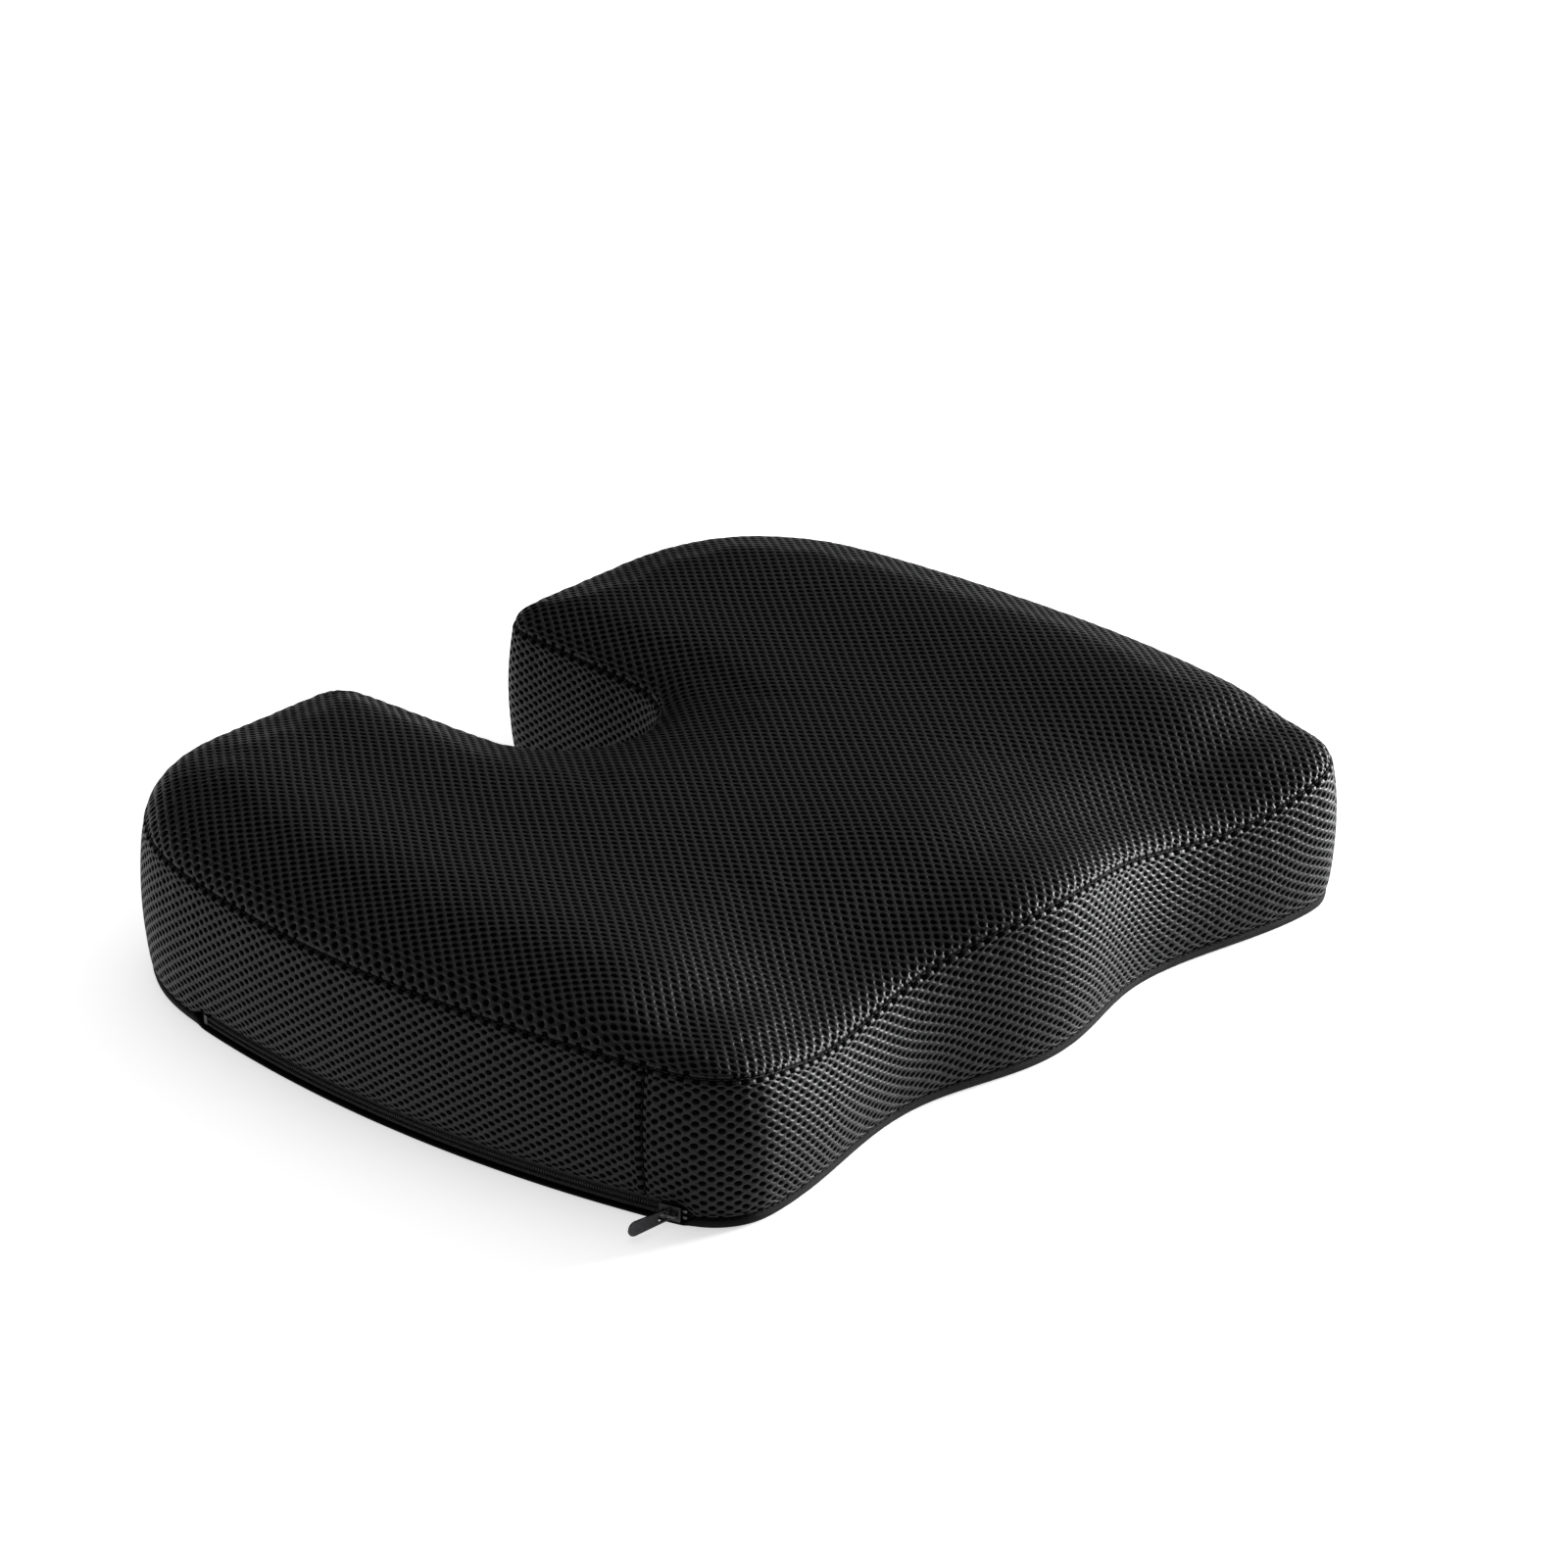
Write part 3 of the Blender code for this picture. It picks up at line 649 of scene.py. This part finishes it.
def base_cloth():
    finish = Finish("base_cloth", Roughness=0.8, Specular_IOR_Level=0.08)
    places = finish.own_places()
    x, y, z = finish.parts(places)
    ribs = (x + y).wave(0.0011) * (x - y + z).wave(0.0008)
    knit = ribs * 0.5 + 0.5
    worn = finish.noise(places, pitch=0.012, detail=3)
    lit = knit * 0.5 + worn * 0.5
    colour = finish.blend(lit, (0.0025, 0.0025, 0.0028), (0.0085, 0.0085, 0.0092))
    relief = finish.bumps(knit + worn * 0.6, 0.00012)
    finish.set(Base_Color=colour, Roughness=0.85 - worn * 0.2, Normal=relief)
    return finish.material


mesh, _ = panel_mesh(TOP)
rim_line = np.array([vert.co for vert in ordered_rim(mesh)])
mesh.free()
rim_out = ways_out_of(rim_line)
zip_share = over_zip(rim_line[:, 0], rim_line[:, 1])
band = BAND_TOP + (BASE_UNDER_ZIP - BAND_TOP) * zip_share

# From the flat underside round the fold, up the band, and in over its turned edge. Each entry is
# how far in from the edge it lies, and its height as a share of the band's.
mesh = bmesh.new()
profile = []
for turn in (90, 60, 30, 0):
    inset = BASE_FOLD * (1 - cos(radians(turn)))
    lift = BASE_FOLD * (1 - sin(radians(turn)))
    profile.append((inset, lift / BAND_TOP))
profile += [(0, 0.84), (0.0003, 0.94), (0.0011, 0.985), (0.0022, 0.985)]
loop = None
for inset, height in profile:
    places = rim_line - rim_out * inset
    places[:, 2] = np.minimum(height * BAND_TOP, 1) * band / BAND_TOP
    row = [mesh.verts.new(place) for place in places]
    if loop is None:
        mesh.faces.new(row[::-1])
    else:
        for i in range(len(row)):
            mesh.faces.new((loop[i - 1], loop[i], row[i], row[i - 1]))
    loop = row
base = new_piece("base_cover", mesh)
base.data.materials.append(base_cloth())
base.data.shade_smooth()
apply_modifier(base, "cloth", "SOLIDIFY", thickness=BASE_CLOTH, offset=-1)
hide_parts("bottom_panel")
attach(base, "cushion")


# The stitching: black twisted polyester in the seams. It is the row of short bars that
# shows down in each groove, where the thread passes from one panel to the next.

STITCH_PITCH = 0.0030
STITCH_LENGTH = 0.0023
STITCH_RADIUS = 0.00024
SEAM_NEAR = 0.001  # how far each way the seam's direction is taken over
STITCH_DEPTH = 0.0008  # how far down in the groove it lies


def thread_finish():
    finish = Finish("thread", Roughness=0.6, Specular_IOR_Level=0.15)
    x, y, z = finish.parts(finish.own_places())
    twist = (x + y + z * 0.7).wave(0.0005) * 0.5 + 0.5
    colour = finish.blend(twist, (0.0020, 0.0020, 0.0022), (0.0075, 0.0075, 0.0080))
    relief = finish.bumps(twist, 0.0001)
    finish.set(Base_Color=colour, Roughness=0.7 - twist * 0.2, Normal=relief)
    return finish.material


def pick(piece, wanted):
    """Selects the piece's faces that are wanted, in edit mode."""
    bpy.ops.object.mode_set(mode="OBJECT")
    for part in (*piece.data.vertices, *piece.data.edges, *piece.data.polygons):
        part.select = False
    for face in piece.data.polygons:
        face.select = wanted(face)
    bpy.ops.object.mode_set(mode="EDIT")
    bpy.ops.mesh.select_mode(type="FACE")


def stitch_shape():
    """One stitch along x at the origin: a six-sided bar that narrows to both ends."""
    bpy.ops.object.select_all(action="DESELECT")
    bpy.ops.mesh.primitive_cylinder_add(
        vertices=6, radius=STITCH_RADIUS, depth=STITCH_LENGTH * 0.6, rotation=(0, pi / 2, 0)
    )
    bpy.ops.object.transform_apply(location=False, rotation=True, scale=False)
    bar = bpy.context.object
    for way in (-1, 1):
        pick(bar, lambda face: face.normal.x * way > 0.9)
        bpy.ops.mesh.inset(thickness=STITCH_RADIUS * 0.5)
        bpy.ops.transform.translate(value=(way * STITCH_LENGTH * 0.2, 0, 0))
    bpy.ops.object.mode_set(mode="OBJECT")
    return bar


def repeat(name, first, placings):
    """One piece made of a copy of a small shape at each placing. The first shape goes."""
    mesh = bmesh.new()
    for placing in placings:
        start = len(mesh.verts)
        mesh.from_mesh(first.data)
        mesh.verts.ensure_lookup_table()
        bmesh.ops.transform(mesh, matrix=placing, verts=mesh.verts[start:])
    bpy.data.objects.remove(first)
    return new_piece(name, mesh)


def sew(name, places, outwards, closed, node):
    """Stitches along a line of places, down in its groove."""
    line = np.array(places)
    if closed:
        line = np.vstack([line, line[:1]])
        outwards = np.vstack([outwards, outwards[:1]])
    lengths = np.concatenate([[0], np.cumsum(np.linalg.norm(np.diff(line, axis=0), axis=1))])
    count = int(lengths[-1] / STITCH_PITCH)
    placings = []
    for i in range(count):
        middle = (i + 0.5) * lengths[-1] / count
        spots = []
        for at in (middle - SEAM_NEAR, middle, middle + SEAM_NEAR):
            spots.append(Vector([np.interp(at, lengths, line[:, axis]) for axis in range(3)]))
        out = Vector([np.interp(middle, lengths, outwards[:, axis]) for axis in range(3)])
        along = (spots[2] - spots[0]).normalized()
        side = out.normalized().cross(along).normalized()
        turn = Matrix((along, side, along.cross(side))).transposed().to_4x4()
        placings.append(Matrix.Translation(spots[1] - out.normalized() * STITCH_DEPTH) @ turn)
    piece = repeat(name, stitch_shape(), placings)
    piece.data.materials.append(thread)
    piece.data.shade_smooth()
    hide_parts(node)
    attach(piece, "cushion")


thread = thread_finish()
mesh = bmesh.new()
mesh.from_mesh(shell.data)
mesh.normal_update()
seams = {name: {} for name in ("top", "left", "right")}
layer = mesh.faces.layers.int["panel"]
for edge in mesh.edges:
    kinds = {face[layer] for face in edge.link_faces}
    if len(kinds) < 2:
        continue
    if TOP in kinds:
        seam = "top"
    else:
        seam = "left" if edge.verts[0].co.x < 0 else "right"
    for vert in edge.verts:
        seams[seam][vert] = vert.normal.copy()
fine_tree = tree_of(rim_line)
order = sorted(seams["top"], key=lambda vert: fine_tree.find(vert.co)[1])
outwards = np.array([seams["top"][vert] for vert in order])
sew("top_stitches", [vert.co for vert in order], outwards, True, "top_seam_thread")
for side in ("left", "right"):
    order = sorted(seams[side], key=lambda vert: vert.co.z)[1:-1]
    places = [vert.co for vert in order]
    outwards = np.array([seams[side][vert] for vert in order])
    sew(f"{side}_stitches", places, outwards, False, f"{side}_seam_thread")
mesh.free()

# The lowest seam runs from one end of the zip round to its other end.
unzipped = zip_share < 0.02
away_from_zip = np.flatnonzero(unzipped)
gaps = np.diff(away_from_zip, append=away_from_zip[0] + len(rim_line))
first = away_from_zip[np.argmax(gaps)]
order = [i for i in np.roll(np.arange(len(rim_line)), -first - 1) if unzipped[i]]
places = np.column_stack([rim_line[order, :2], band[order]])
sew("bottom_stitches", places, rim_out[order], False, "bottom_seam_thread")


# The foam: one moulded block of slow-recovery foam with a fine-celled skin. It is never seen
# while the zip is shut.

FOAM_SLACK = 0.0008  # the room over the foam that the loose cover leaves
FOAM_YIELD = 1.4  # how soon, up the block, it is let down by all of the thighs' dip
FOAM_CELL = 0.0009

foam = copy_of("foam_core", "foam_block")
mesh = bmesh.new()
mesh.from_mesh(foam.data)
join_triangles(mesh)
foam_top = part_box("foam_core")[1].z
for vert in mesh.verts:
    share_up = vert.co.z / foam_top
    vert.co.z -= (thigh_dip(vert.co.x, vert.co.y) + FOAM_SLACK) * smooth_step(share_up * FOAM_YIELD)
mesh.to_mesh(foam.data)
mesh.free()
apply_modifier(foam, "fine", "SUBSURF", levels=2, render_levels=2)
foam.data.shade_smooth()
finish = Finish("foam_skin", Roughness=0.85, Subsurface_Weight=0.1)
places = finish.own_places()
cells = finish.add(
    "ShaderNodeTexVoronoi",
    {"feature": "DISTANCE_TO_EDGE"},
    {"Vector": places, "Scale": 1 / FOAM_CELL},
)
yellowed = finish.noise(places, pitch=0.05, detail=3)
wall = cells.rise(start=0, end=0.25)
colour = finish.blend(yellowed, (0.78, 0.73, 0.58), (0.84, 0.80, 0.69))
finish.set(Base_Color=colour, Roughness=0.9 - wall * 0.1, Normal=finish.bumps(wall, 0.0002))
foam.data.materials.clear()
foam.data.materials.append(finish.material)
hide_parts("foam_core")
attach(foam, "cushion")


# The zip's tapes: two bands of narrow woven polyester, one for each coil. They are sewn behind
# the hem and the base, in front of the foam, and keep their CAD shape.

finish = Finish("tape_weave", Roughness=0.7)
x, y, z = finish.parts(finish.own_places())
weft = (y + z.wave(0.0016) * 0.0003).wave(0.0007) * 0.5 + 0.5
warp = z.wave(0.0008) * 0.5 + 0.5
weave = weft * 0.6 + warp * 0.4
colour = finish.blend(weave, (0.0025, 0.0025, 0.0028), (0.0100, 0.0100, 0.0110))
relief = finish.bumps(weave, 0.00015)
finish.set(Base_Color=colour, Roughness=0.8 - weave * 0.2, Normal=relief)
for half in ("upper", "lower"):
    nodes[f"zip_tape_{half}"].data.materials[0] = finish.material


# The zip's coils: black nylon wire wound into flat loops along each tape. Facing loops reach
# towards each other across the slot that the slider's post runs in.

COIL_PITCH = 0.0012
WIRE_RADIUS = 0.00027
HEAD_REACH = 0.00022  # how far a loop's head stands out of its CAD strip into the slot
LOOP_SQUASH = 0.9  # the pressed wire's depth, as a share of its width
LOOP_LEAN = 0.28  # how far a loop leans along the tape
LOOP_OFFSET = 0.25  # each coil's loops start this share of a pitch to one side
STRAIGHT = 0.1  # radians about the middle of the zip in which the coil's section is taken

run_joint = next(joint for joint in frame["joints"] if joint["name"] == "zip_run")
bend_centre = Vector(run_joint["pos_m"])
finish = Finish("coil_nylon", Roughness=0.3, Specular_IOR_Level=0.5)
scuffs = finish.noise(finish.own_places(), pitch=0.0015, detail=2)
colour = finish.blend(scuffs, (0.010, 0.010, 0.011), (0.035, 0.035, 0.038))
finish.set(Base_Color=colour, Roughness=0.45 - scuffs * 0.2)
for half, way in (("upper", -1), ("lower", 1)):
    low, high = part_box(f"zip_coil_{half}")
    corners = places_of(nodes[f"zip_coil_{half}"].data) - np.array(bend_centre)
    radii = np.hypot(corners[:, 0], corners[:, 1])
    turns = np.arctan2(corners[:, 1], -corners[:, 0])
    section = radii[abs(turns) < STRAIGHT]
    outer, inner = section.max(), section.min()
    width = high.z - low.z + HEAD_REACH
    bpy.ops.object.select_all(action="DESELECT")
    bpy.ops.mesh.primitive_torus_add(
        major_segments=10,
        minor_segments=5,
        major_radius=width / 2 - WIRE_RADIUS,
        minor_radius=WIRE_RADIUS,
    )
    bpy.ops.object.mode_set(mode="EDIT")
    bpy.ops.mesh.select_all(action="SELECT")
    bpy.ops.transform.resize(value=((outer - inner) / width, 1, LOOP_SQUASH))
    bpy.ops.object.mode_set(mode="OBJECT")
    loop_ring = bpy.context.object
    middle_radius = (outer + inner) / 2
    middle_z = (low.z + high.z + way * HEAD_REACH) / 2
    count = int((turns.max() - turns.min()) * middle_radius / COIL_PITCH)
    placings = []
    for i in range(count):
        share = (i + 0.5 + LOOP_OFFSET * way) / count
        turn = turns.min() + (turns.max() - turns.min()) * share
        out = Vector((-cos(turn), sin(turn), 0))
        place = bend_centre + out * middle_radius
        place.z = middle_z
        up = Vector((0, 0, 1))
        along = out.cross(up)
        tilt = (up + along * LOOP_LEAN * way).normalized()
        stance = Matrix((out, tilt, out.cross(tilt))).transposed().to_4x4()
        placings.append(Matrix.Translation(place) @ stance)
    piece = repeat(f"coil_{half}", loop_ring, placings)
    piece.data.materials.append(finish.material)
    piece.data.shade_smooth()
    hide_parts(f"zip_coil_{half}")
    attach(piece, "cushion")


# The zip's metal: a die-cast slider with a pull hung on its bridge, and pressed stops at the
# ends of the coils, all in a dark tumbled finish that is rubbed bright on its edges.

METAL_BEND = radians(40)  # a sharper edge than this is rounded off
METAL = (
    ("zip_slider", "slider", "slider", 0.00022),
    ("zip_pull", "pull", "pull", 0.00022),
    ("zip_top_stop_upper", "top_stop_upper", "cushion", 0.00030),
    ("zip_top_stop_lower", "top_stop_lower", "cushion", 0.00030),
    ("zip_bottom_stop", "bottom_stop", "cushion", 0.00035),
)
finish = Finish("dark_metal", Metallic=1.0, Roughness=0.35)
places = finish.own_places()
rubbed = finish.noise(places, pitch=0.0016, detail=3)
edges = finish.add("ShaderNodeNewGeometry", {}, {}, "Pointiness").rise(start=0.50, end=0.58)
wear = (edges * 0.8 + rubbed * 0.35).least(1)
colour = finish.blend(wear, (0.010, 0.010, 0.011), (0.10, 0.10, 0.105))
relief = finish.bumps(rubbed, 0.00004)
finish.set(Base_Color=colour, Roughness=0.46 - wear * 0.16, Normal=relief)
for node, name, body, edge in METAL:
    piece = copy_of(node, name)
    apply_modifier(
        piece,
        "edges",
        "BEVEL",
        width=edge,
        segments=3,
        limit_method="ANGLE",
        angle_limit=METAL_BEND,
        harden_normals=False,
    )
    bpy.ops.object.shade_smooth_by_angle(angle=radians(35))
    piece.data.materials.clear()
    piece.data.materials.append(finish.material)
    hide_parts(node)
    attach(piece, body)


# The studio: a white lit table under a soft overhead light, with a low light off to the right
# of the front that brings up the weave, and a weak one behind the left side.

stage_finish = Finish(
    "studio_floor",
    Base_Color=(0.86, 0.86, 0.86),
    Roughness=0.8,
    Emission_Color=(1, 1, 1),
    Emission_Strength=0.62,
)
bpy.ops.mesh.primitive_plane_add(size=80)
floor = bpy.context.object
floor.name = "studio_floor"
floor.data.materials.append(stage_finish.material)


def add_light(name, size, place, aim, watts):
    data = bpy.data.lights.new(name, "AREA")
    data.shape = "RECTANGLE"
    data.size, data.size_y = size
    data.energy = watts
    lamp = bpy.data.objects.new(name, data)
    lamp.location = place
    lamp.rotation_euler = (Vector(place) - Vector(aim)).to_track_quat("Z", "Y").to_euler()
    bpy.context.scene.collection.objects.link(lamp)


sun = bpy.data.lights.new("overhead", "SUN")
sun.energy = 1.2
sun.angle = radians(60)
overhead = bpy.data.objects.new("overhead", sun)
overhead.rotation_euler = (radians(-10), radians(14), 0)
bpy.context.scene.collection.objects.link(overhead)
add_light(
    "right_front", size=(0.8, 0.6), place=(2.30, -0.95, 0.42), aim=(0, 0, 0.05), watts=205
)
add_light(
    "left_back", size=(1.2, 0.5), place=(-1.5, 1.1, 0.35), aim=(-0.1, 0, 0.05), watts=8
)
world = bpy.data.worlds.new("studio")
world.use_nodes = True
air = world.node_tree.nodes["Background"].inputs
air["Color"].default_value = (1, 1, 1, 1)
air["Strength"].default_value = 0.05
bpy.context.scene.world = world
bpy.context.scene.view_settings.view_transform = "Standard"

bpy.data.objects.remove(shell)
